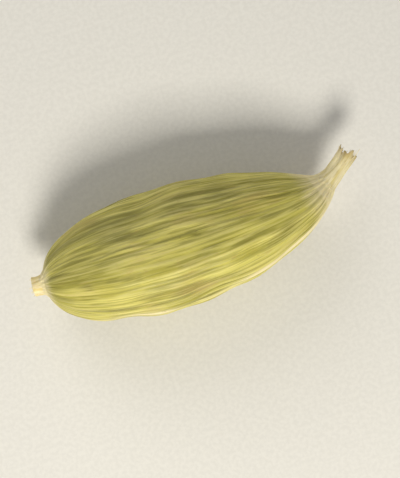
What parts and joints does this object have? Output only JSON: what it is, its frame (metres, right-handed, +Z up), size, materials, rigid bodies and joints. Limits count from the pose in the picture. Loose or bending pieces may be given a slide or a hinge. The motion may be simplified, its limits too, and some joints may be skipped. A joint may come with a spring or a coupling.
{
  "type": "green cardamom pod",
  "caption": "Dried three-sided seed pod with a ribbed papery husk, a short stalk stub and a withered, sideways curved flower tube, lying on its flattest side.",
  "frame": {"origin": "on the flat spot that the pod rests on, at the middle of the husk's length", "axes": "+X along the pod from the stalk to the flower tube, +Z up from the surface it lies on, +Y the side that the flower tube curves to"},
  "size_m": [0.0206, 0.0074, 0.0071],
  "materials": {
    "dried_husk": "matt, fibrous, yellow green"
  },
  "bodies": {
    "root": {"cardamom_pod": "dried_husk"}
  },
  "joints": []
}
